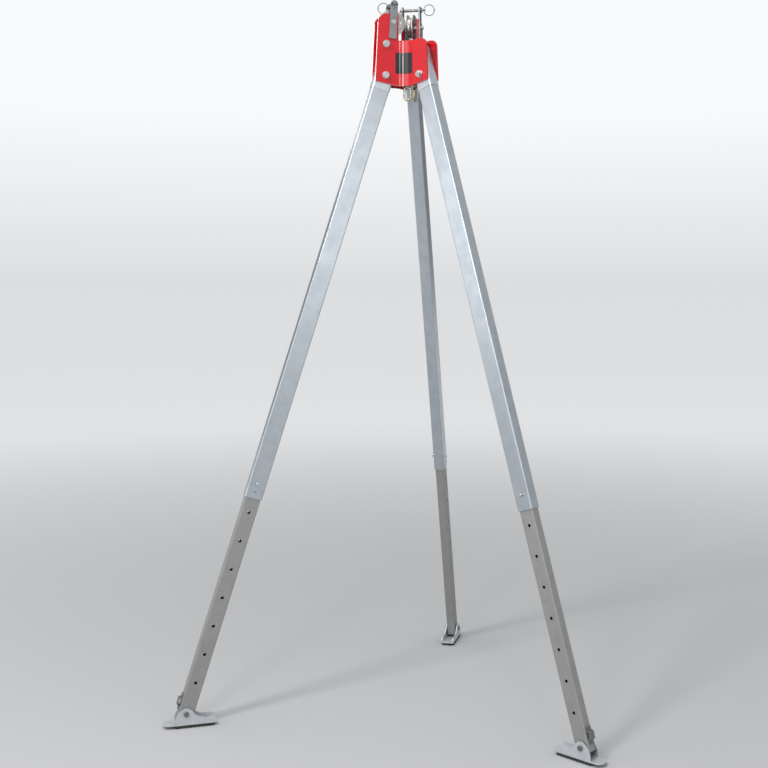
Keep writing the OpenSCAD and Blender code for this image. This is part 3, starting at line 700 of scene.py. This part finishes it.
model = swivelEye()
for side, across in (("front", -1), ("back", 1)):
    spot = legPlane("right") @ Vector((eye["place"][0], across * eye["place"][1], pivotUp))
    turn = Matrix.Rotation(math.radians(eye["turn"][side]), 4, "Z")
    fitCopy(model, Matrix.Translation(spot) @ turn, "swivelEye_" + side, "eye_" + side,
            "gilt_steel", "swivel_eye_" + side)
discard(model)
print("eyes: two")

# Plates, shoes and other pieces that keep the CAD form and get rounded edges

roundedForm = {  # node: (piece, body, slot, edge in mm)
    "head_plate_front": ("frontPlate", "head", "red_coat", 0.9),
    "head_plate_left": ("leftPlate", "head", "red_coat", 0.9),
    "head_plate_right": ("rightPlate", "head", "red_coat", 0.9),
    "label_plate": ("bareLabel", "head", "label_black", 0.2),
    "anchor_bar": ("anchorBar", "head", "red_coat", 0.9),
    "eye_nut_front": ("eyeNut_front", "eye_front", "gilt_steel", 0.4),
    "eye_nut_back": ("eyeNut_back", "eye_back", "gilt_steel", 0.4),
}
for leg in legs:
    roundedForm.update({
        "leg_sleeve_" + leg: ("legSleeve_" + leg, "leg_" + leg, "sleeve_aluminium", 0.5),
        "end_plug_" + leg: ("endPlug_" + leg, "lower_leg_" + leg, "black_plastic", 0.6),
        "strap_loop_" + leg: ("strapLoop_" + leg, "lower_leg_" + leg, "strap_steel", 0.6),
        "foot_shoe_" + leg: ("footShoe_" + leg, "foot_" + leg, "zinc_steel", 0.9),
        "foot_pad_" + leg: ("footTread_" + leg, "foot_" + leg, "black_rubber", 0.5),
    })
cadMesh = {"seam": 0.002 * mm, "flat": 0.4}  # what is welded, and the degrees that count as flat


def roundedCopy(node, name, body, slot, edge):
    pick(frame["nodes"][node])
    bpy.ops.object.duplicate()
    piece = named(name)
    piece.parent = None
    for key in [key for key in piece.keys() if key.startswith("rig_")]:
        del piece[key]
    bpy.ops.mesh.customdata_custom_splitnormals_clear()
    openEdit(piece, whole=True)
    bpy.ops.mesh.remove_doubles(threshold=cadMesh["seam"])
    bpy.ops.mesh.dissolve_limited(angle_limit=math.radians(cadMesh["flat"]))
    closeEdit()
    roundEdges(piece, edge * mm, angle=30)
    fit(piece, body, slot, node)


for node, (name, body, slot, edge) in roundedForm.items():
    roundedCopy(node, name, body, slot, edge)
print("rounded forms:", len(roundedForm))

# Effects that several finishes share


def newGroup(name, numbers, outputs):  # takes a place and those numbers
    group = bpy.data.node_groups.new(name, "ShaderNodeTree")
    sockets = group.interface
    sockets.new_socket("Place", in_out="INPUT", socket_type="NodeSocketVector")
    for label, value in numbers.items():
        sockets.new_socket(label, in_out="INPUT", socket_type="NodeSocketFloat").default_value = value
    for label in outputs:
        sockets.new_socket(label, in_out="OUTPUT", socket_type="NodeSocketFloat")
    start, end = group.nodes.new("NodeGroupInput"), group.nodes.new("NodeGroupOutput")
    return group, start.outputs, end.inputs


def addNode(tree, kind, links=None, **settings):
    node = tree.nodes.new(kind)
    for key, value in settings.items():
        setattr(node, key, value)
    for key, value in (links or {}).items():
        if isinstance(value, bpy.types.NodeSocket):
            tree.links.new(value, node.inputs[key])
        else:
            node.inputs[key].default_value = value
    return node


def plus(tree, first, second):
    return addNode(tree, "ShaderNodeMath", {0: first, 1: second}, operation="ADD").outputs[0]


def times(tree, first, second, clamp=False):
    return addNode(tree, "ShaderNodeMath", {0: first, 1: second}, operation="MULTIPLY",
                   use_clamp=clamp).outputs[0]


def blend(tree, share, first, second):
    return plus(tree, times(tree, first, 1 - share), times(tree, second, share))


def dot(tree, first, second):
    return addNode(tree, "ShaderNodeVectorMath", {0: first, 1: second},
                   operation="DOT_PRODUCT").outputs["Value"]


def remap(tree, value, low, high, toLow=0.0, toHigh=1.0, **settings):
    return addNode(tree, "ShaderNodeMapRange", {"Value": value, "From Min": low, "From Max": high,
                   "To Min": toLow, "To Max": toHigh}, **settings).outputs["Result"]


def noise(tree, place, scale, detail, roughness=0.5):
    return addNode(tree, "ShaderNodeTexNoise", {"Vector": place, "Scale": scale, "Detail": detail,
                   "Roughness": roughness}).outputs["Fac"]


def mixColour(tree, share, first, second):
    first, second = ((*value, 1) if isinstance(value, tuple) else value for value in (first, second))
    return addNode(tree, "ShaderNodeMix", {0: share, 6: first, 7: second}, data_type="RGBA").outputs[2]


mottleLook = {"detail": 5.0, "roughness": 0.6, "spread": (0.3, 0.7), "skinDetail": 2.0}


def makeMottle():  # soft uneven tone and a fine skin
    group, given, out = newGroup("mottle", {"Scale": 20.0, "Fine": 600.0}, ("Tone", "Skin"))
    broad = noise(group, given["Place"], given["Scale"], mottleLook["detail"], mottleLook["roughness"])
    fine = noise(group, given["Place"], given["Fine"], mottleLook["skinDetail"])
    group.links.new(remap(group, broad, *mottleLook["spread"]), out["Tone"])
    group.links.new(fine, out["Skin"])
    return group


lineLook = {"detail": 3.0, "roughness": 0.7, "scratchScale": 0.32, "scratchDetail": 2.0,
            "scratches": (0.64, 0.72)}


def makeDrawnLines():  # lines along z of the place that is given
    group, given, out = newGroup("drawnLines", {"Across": 900.0, "Along": 6.0}, ("Lines", "Scratches"))
    across, along = given["Across"], given["Along"]
    stretch = addNode(group, "ShaderNodeCombineXYZ", {"X": across, "Y": across, "Z": along}).outputs[0]
    spot = addNode(group, "ShaderNodeVectorMath", {0: given["Place"], 1: stretch},
                   operation="MULTIPLY").outputs[0]
    lines = noise(group, spot, 1.0, lineLook["detail"], lineLook["roughness"])
    few = noise(group, spot, lineLook["scratchScale"], lineLook["scratchDetail"])
    group.links.new(lines, out["Lines"])
    group.links.new(remap(group, few, *lineLook["scratches"]), out["Scratches"])
    return group


rubLook = {"samples": 6, "edge": (0.995, 0.86), "detail": 6.0, "roughness": 0.65, "breaks": (0.47, 0.62)}


def makeEdgeRub():  # marks the outer edges, broken up by noise
    group, given, out = newGroup("edgeRub", {"Width": 0.0015, "Breaks": 90.0}, ("Rub",))
    soft = addNode(group, "ShaderNodeBevel", {"Radius": given["Width"]}, samples=rubLook["samples"])
    real = addNode(group, "ShaderNodeNewGeometry")
    edge = remap(group, dot(group, soft.outputs["Normal"], real.outputs["Normal"]), *rubLook["edge"])
    breaks = noise(group, given["Place"], given["Breaks"], rubLook["detail"], rubLook["roughness"])
    rub = times(group, edge, remap(group, breaks, *rubLook["breaks"]), clamp=True)
    group.links.new(rub, out["Rub"])
    return group


dustLook = {"facing": (0.2, 0.95), "detail": 6.0, "cloud": (0.4, 0.7)}


def makeDust():  # settles on what faces up
    group, given, out = newGroup("dust", {"Scale": 30.0}, ("Dust",))
    real = addNode(group, "ShaderNodeNewGeometry")
    up = addNode(group, "ShaderNodeSeparateXYZ", {0: real.outputs["Normal"]}).outputs["Z"]
    cloud = noise(group, given["Place"], given["Scale"], dustLook["detail"])
    dust = times(group, remap(group, up, *dustLook["facing"]), remap(group, cloud, *dustLook["cloud"]),
                 clamp=True)
    group.links.new(dust, out["Dust"])
    return group


def makeSpangle():  # crystals of a zinc bath
    group, given, out = newGroup("spangle", {"Scale": 120.0}, ("Tone", "Relief"))
    cells = addNode(group, "ShaderNodeTexVoronoi", {"Vector": given["Place"], "Scale": given["Scale"]})
    tone = addNode(group, "ShaderNodeSeparateColor", {0: cells.outputs["Color"]})
    group.links.new(tone.outputs[0], out["Tone"])
    group.links.new(cells.outputs["Distance"], out["Relief"])
    return group


effects = {"mottle": makeMottle(), "drawnLines": makeDrawnLines(), "edgeRub": makeEdgeRub(),
           "dust": makeDust(), "spangle": makeSpangle()}
print("effects:", ", ".join(effects))

# Finishes: base and second tone, metal, roughness from and to, bump in mm, and each effect's own values

finishes = {
    "redCoat": {
        "base": (0.5, 0.005, 0.012), "tone": (0.44, 0.004, 0.009), "metallic": 0.0, "rough": (0.3, 0.4),
        "mottle": (9, 420), "bump": 0.035, "rub": (0.0012, 70, (0.35, 0.3, 0.3), 0.35),
        "dust": (25, (0.5, 0.3, 0.3), 0.08), "coat": (0.9, 0.05), "specular": 0.2},
    "labelBlack": {
        "base": (0.012, 0.012, 0.013), "tone": (0.022, 0.022, 0.024), "metallic": 0.0, "rough": (0.1, 0.16),
        "mottle": (30, 900), "bump": 0.002, "rub": (0.0006, 200, (0.2, 0.2, 0.2), 0.5)},
    "plainSteel": {
        "base": (0.62, 0.63, 0.65), "tone": (0.48, 0.5, 0.51), "metallic": 1.0, "rough": (0.22, 0.38),
        "mottle": (60, 900), "bump": 0.01, "rub": (0.0006, 150, (0.75, 0.75, 0.76), 0.5)},
    "pinSteel": {
        "base": (0.24, 0.24, 0.245), "tone": (0.19, 0.19, 0.195), "metallic": 1.0, "rough": (0.5, 0.62),
        "mottle": (60, 900), "bump": 0.01, "rub": (0.0006, 150, (0.6, 0.6, 0.61), 0.4)},
    "rolledSteel": {
        "base": (0.28, 0.285, 0.29), "tone": (0.21, 0.215, 0.22), "metallic": 1.0, "rough": (0.4, 0.52),
        "mottle": (40, 700), "bump": 0.02, "rub": (0.0009, 120, (0.72, 0.73, 0.75), 0.5)},
    "turnedMetal": {
        "base": (0.62, 0.61, 0.6), "tone": (0.48, 0.47, 0.46), "metallic": 1.0, "rough": (0.2, 0.36),
        "mottle": (35, 800), "bump": 0.015, "rub": (0.001, 120, (0.8, 0.8, 0.8), 0.5)},
    "bushBronze": {
        "base": (0.55, 0.36, 0.14), "tone": (0.4, 0.25, 0.09), "metallic": 1.0, "rough": (0.3, 0.45),
        "mottle": (60, 900), "bump": 0.01},
    "giltSteel": {
        "base": (0.42, 0.375, 0.26), "tone": (0.32, 0.29, 0.22), "metallic": 1.0, "rough": (0.2, 0.34),
        "mottle": (70, 900), "bump": 0.01, "rub": (0.001, 150, (0.8, 0.78, 0.72), 0.5)},
    "brightTube": {
        "base": (0.53, 0.575, 0.615), "tone": (0.45, 0.495, 0.535), "metallic": 1.0, "rough": (0.26, 0.4),
        "mottle": (26, 500), "lines": (620, 3, 0.6), "bump": 0.012,
        "rub": (0.0018, 60, (0.8, 0.82, 0.84), 0.7)},
    "sleeveTube": {
        "base": (0.6, 0.64, 0.68), "tone": (0.5, 0.54, 0.58), "metallic": 1.0, "rough": (0.34, 0.48),
        "mottle": (20, 500), "lines": (700, 9, 0.5), "bump": 0.01,
        "rub": (0.0008, 100, (0.8, 0.82, 0.84), 0.4)},
    "greyTube": {
        "base": (0.335, 0.335, 0.33), "tone": (0.295, 0.295, 0.29), "metallic": 0.6, "rough": (0.42, 0.56),
        "mottle": (30, 500), "lines": (800, 5, 0.7), "bump": 0.012,
        "rub": (0.0008, 100, (0.5, 0.5, 0.5), 0.5)},
    "plugBlack": {
        "base": (0.014, 0.014, 0.014), "tone": (0.022, 0.022, 0.022), "metallic": 0.0, "rough": (0.42, 0.6),
        "mottle": (50, 1200), "bump": 0.05},
    "zincSteel": {
        "base": (0.66, 0.68, 0.7), "tone": (0.54, 0.56, 0.58), "metallic": 0.7, "rough": (0.42, 0.6),
        "mottle": (30, 500), "spangle": (130, 0.35), "bump": 0.02,
        "rub": (0.0012, 90, (0.74, 0.75, 0.77), 0.5), "dust": (40, (0.45, 0.42, 0.38), 0.2)},
    "treadRubber": {
        "base": (0.018, 0.018, 0.018), "tone": (0.034, 0.033, 0.031), "metallic": 0.0, "rough": (0.6, 0.8),
        "mottle": (30, 900), "bump": 0.09, "rub": (0.0012, 60, (0.09, 0.085, 0.08), 0.7),
        "dust": (60, (0.3, 0.28, 0.25), 0.25)},
}
finishMix = {
    "lineHeight": 1.6,  # of drawn lines in the bump
    "scratchLight": 1.18,  # over the base colour
    "scratchShare": 0.35,
    "zincWear": 0.5,  # share of the crystals in the roughness
    "specular": 0.5,
}


def makeFinish(name, values, place=None):
    material = bpy.data.materials.new(name)
    material.use_nodes = True
    tree = material.node_tree
    tree.nodes.clear()
    shader = addNode(tree, "ShaderNodeBsdfPrincipled", {"Metallic": values["metallic"]})
    addNode(tree, "ShaderNodeOutputMaterial", {"Surface": shader.outputs[0]})
    spot = addNode(tree, "ShaderNodeTexCoord").outputs["Object"]
    if place:  # the leg's own frame
        origin, turn = place
        spot = addNode(tree, "ShaderNodeMapping", {"Vector": spot, "Location": origin, "Rotation": turn},
                       vector_type="TEXTURE").outputs[0]

    def effect(kind, **inputs):
        return addNode(tree, "ShaderNodeGroup", {"Place": spot, **inputs}, node_tree=effects[kind]).outputs

    scale, fine = values["mottle"]
    mottle = effect("mottle", Scale=scale, Fine=fine)
    tint = mixColour(tree, mottle["Tone"], values["base"], values["tone"])
    height, wear = mottle["Skin"], mottle["Tone"]
    if "lines" in values:
        across, along, share = values["lines"]
        lines = effect("drawnLines", Across=across, Along=along)
        height = plus(tree, height, times(tree, lines["Lines"], finishMix["lineHeight"]))
        wear = blend(tree, share, wear, lines["Lines"])
        light = tuple(min(1, part * finishMix["scratchLight"]) for part in values["base"])
        scratches = times(tree, lines["Scratches"], finishMix["scratchShare"] * share)
        tint = mixColour(tree, scratches, tint, light)
    if "spangle" in values:
        scale, share = values["spangle"]
        zinc = effect("spangle", Scale=scale)
        tint = mixColour(tree, times(tree, zinc["Tone"], share), tint, values["tone"])
        wear = blend(tree, finishMix["zincWear"], wear, zinc["Tone"])
        height = plus(tree, height, zinc["Relief"])
    if "rub" in values:
        width, breaks, bare, share = values["rub"]
        rub = times(tree, effect("edgeRub", Width=width, Breaks=breaks)["Rub"], share)
        tint = mixColour(tree, rub, tint, bare)
    if "dust" in values:
        scale, dustTint, share = values["dust"]
        dust = times(tree, effect("dust", Scale=scale)["Dust"], share)
        tint = mixColour(tree, dust, tint, dustTint)
        wear = plus(tree, wear, dust)
    bump = addNode(tree, "ShaderNodeBump", {"Height": height, "Distance": values["bump"] * mm,
                                            "Strength": 1.0})
    sockets = shader.inputs
    tree.links.new(tint, sockets["Base Color"])
    tree.links.new(remap(tree, wear, 0, 1, *values["rough"]), sockets["Roughness"])
    tree.links.new(bump.outputs[0], sockets["Normal"])
    sockets["Specular IOR Level"].default_value = values.get("specular", finishMix["specular"])
    if "coat" in values:
        weight, coatRough = values["coat"]
        sockets["Coat Weight"].default_value = weight
        sockets["Coat Roughness"].default_value = coatRough
    return material


slotFinish = {
    "red_coat": "redCoat",
    "label_black": "labelBlack",
    "plated_steel": "plainSteel",
    "strap_steel": "rolledSteel",
    "sheave_metal": "turnedMetal",
    "bronze": "bushBronze",
    "gilt_steel": "giltSteel",
    "bright_aluminium": "brightTube",
    "sleeve_aluminium": "sleeveTube",
    "grey_aluminium": "greyTube",
    "black_plastic": "plugBlack",
    "zinc_steel": "zincSteel",
    "black_rubber": "treadRubber",
}
pieceFinish = {  # duller than the rest of their slot
    "keeperPin": "pinSteel",
    "pullRing": "pinSteel",
    "footBolt": "pinSteel",
}
alongTheLeg = ("bright_aluminium", "sleeve_aluminium", "grey_aluminium")
nodeSlot = {part["node"]: part["material_slot"] for part in frame["record"]["subparts"]}
made = {}


def finishFor(slot, name):
    kind, _, leg = name.rpartition("_")
    finish = pieceFinish.get(kind, slotFinish[slot])
    key, place = finish, None
    if slot in alongTheLeg:
        key = finish + "_" + leg
        place = (alongLeg(leg).to_translation(), (0, -tilt, math.radians(legTurn[leg])))
    if key not in made:
        made[key] = makeFinish(key, finishes[finish], place)
    return made[key]


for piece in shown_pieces():
    slot = piece.get("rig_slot") or nodeSlot[piece["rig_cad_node"]]
    piece.data.materials.clear()
    piece.data.materials.append(finishFor(slot, piece.name))
print("finishes:", len(made))

# Floor, light and camera

studio = {
    "floorSize": 400,  # metres
    # painted shade: the floor near the middle is painted darker
    "floorPaintedShadeNear": (0.42, 0.42, 0.425),
    "floorPaintedLightFar": (0.97, 0.97, 0.97),  # painted light: the floor is painted paler away from the middle until it melts into the background
    "paintedFadeRange": (0.5, 9.0),  # metres from the middle, over which the painted shade near the middle turns into the painted light far away
    "paperRough": 0.85,
    "skyTint": (0.97, 0.985, 1),
    "sky": (0.47, 0.95),  # light from the horizon and from overhead
    "skyTop": 0.8,  # rise of the heading that counts as overhead
    "behind": (0.25, 0.85),  # the room darkens between these depths of the heading
    "behindShare": 0.45,
    "window": (-0.5, -0.85, 0.07),  # heading of a pale window
    "windowEdge": (0.93, 0.98),  # from its edge to its middle
    "windowBright": 1.7,
    "backdrop": (0.735, 0.97),  # what the camera sees, from the horizon up
    "backdropTop": 0.14,
    "aim": (0, -0.2, 1.5),
    "lamps": {  # place, width, height, brightness
        "key": ((-1.35, -2.64, 4.2), 0.6, 0.6, 70),
        "leftBox": ((-3.4, -1.9, 1.95), 2.0, 1.5, 1.25),
        "rightBox": ((2.6, -3.2, 1.9), 1.6, 1.2, 1.2),
        "frontBox": ((-0.1, -3.0, 2.78), 0.42, 0.9, 15),
        "frontStrip": ((1.09, -2.78, 2.78), 0.18, 0.9, 14),
        "overhead": ((0.2, -0.4, 4.6), 2.4, 2.4, 1.2),
        "rim": ((-2.95, 2.68, 3.2), 0.3, 0.5, 6),
    },
}


def layFloor():
    clearSelection()
    bpy.ops.mesh.primitive_plane_add(size=studio["floorSize"])
    floor = named("floor")
    paper = bpy.data.materials.new("paper")
    paper.use_nodes = True
    tree = paper.node_tree
    shader = tree.nodes["Principled BSDF"]
    shader.inputs["Roughness"].default_value = studio["paperRough"]
    spot = addNode(tree, "ShaderNodeTexCoord").outputs["Object"]
    away = addNode(tree, "ShaderNodeVectorMath", {0: spot}, operation="LENGTH").outputs["Value"]
    # painted light and shade: the floor's colour goes from dark near the middle to pale far away
    pale = remap(tree, away, *studio["paintedFadeRange"], interpolation_type="SMOOTHSTEP")
    tint = mixColour(tree, pale, studio["floorPaintedShadeNear"], studio["floorPaintedLightFar"])
    tree.links.new(tint, shader.inputs["Base Color"])
    floor.data.materials.append(paper)


def lightRoom():
    world = bpy.data.worlds.new("studioWorld")
    world.use_nodes = True
    tree = world.node_tree
    direction = addNode(tree, "ShaderNodeTexCoord").outputs["Generated"]
    heading = addNode(tree, "ShaderNodeSeparateXYZ", {0: direction}).outputs
    sky = remap(tree, heading["Z"], 0.0, studio["skyTop"], *studio["sky"])
    depth = remap(tree, heading["Y"], *studio["behind"], 1.0, studio["behindShare"])
    facing = dot(tree, direction, Vector(studio["window"]).normalized())
    window = remap(tree, facing, *studio["windowEdge"], 0.0, studio["windowBright"])
    room = plus(tree, times(tree, sky, depth), window)
    backdrop = remap(tree, heading["Z"], 0.0, studio["backdropTop"], *studio["backdrop"])
    seen = addNode(tree, "ShaderNodeLightPath").outputs["Is Camera Ray"]
    glow = addNode(tree, "ShaderNodeMix", {0: seen, 2: room, 3: backdrop}).outputs[0]
    background = tree.nodes["Background"]
    background.inputs["Color"].default_value = (*studio["skyTint"], 1)
    tree.links.new(glow, background.inputs["Strength"])
    bpy.context.scene.world = world


def hangLamp(name, spot, wide, high, bright):
    bpy.ops.object.light_add(type="AREA", location=spot)
    lamp = bpy.context.object
    lamp.name = name
    lamp.data.shape = "RECTANGLE"
    lamp.data.size = wide
    lamp.data.size_y = high
    lamp.data.energy = bright * wide * high * math.pi
    lamp.visible_camera = False
    lamp.rotation_euler = (Vector(studio["aim"]) - Vector(spot)).to_track_quat("-Z", "Y").to_euler()


cameraView = {
    "spot": (1.0131, -4.2234, 1.4924),
    "yaw": 12.241,  # degrees
    "pitch": -4.754,
    "roll": 0.169,
    "focal": 1186.7,  # pixels, as are the next two
    "centre": (446.8, 382.4),
    "picture": 768,
    "sensor": 36,
}


def setCamera():
    bpy.ops.object.camera_add(location=cameraView["spot"])
    camera = bpy.context.object
    camera.name = "camera"
    look = Matrix.Rotation(math.radians(cameraView["yaw"]), 4, "Z") \
        @ Matrix.Rotation(math.radians(90 + cameraView["pitch"]), 4, "X") \
        @ Matrix.Rotation(math.radians(cameraView["roll"]), 4, "Z")
    camera.rotation_euler = look.to_euler()
    picture, centre = cameraView["picture"], cameraView["centre"]
    camera.data.sensor_width = cameraView["sensor"]
    camera.data.lens = cameraView["focal"] / picture * cameraView["sensor"]
    camera.data.shift_x = (picture / 2 - centre[0]) / picture
    camera.data.shift_y = (centre[1] - picture / 2) / picture
    bpy.context.scene.camera = camera


layFloor()
lightRoom()
for name, lamp in studio["lamps"].items():
    hangLamp(name, *lamp)
setCamera()
print("studio: floor, lamps and camera")
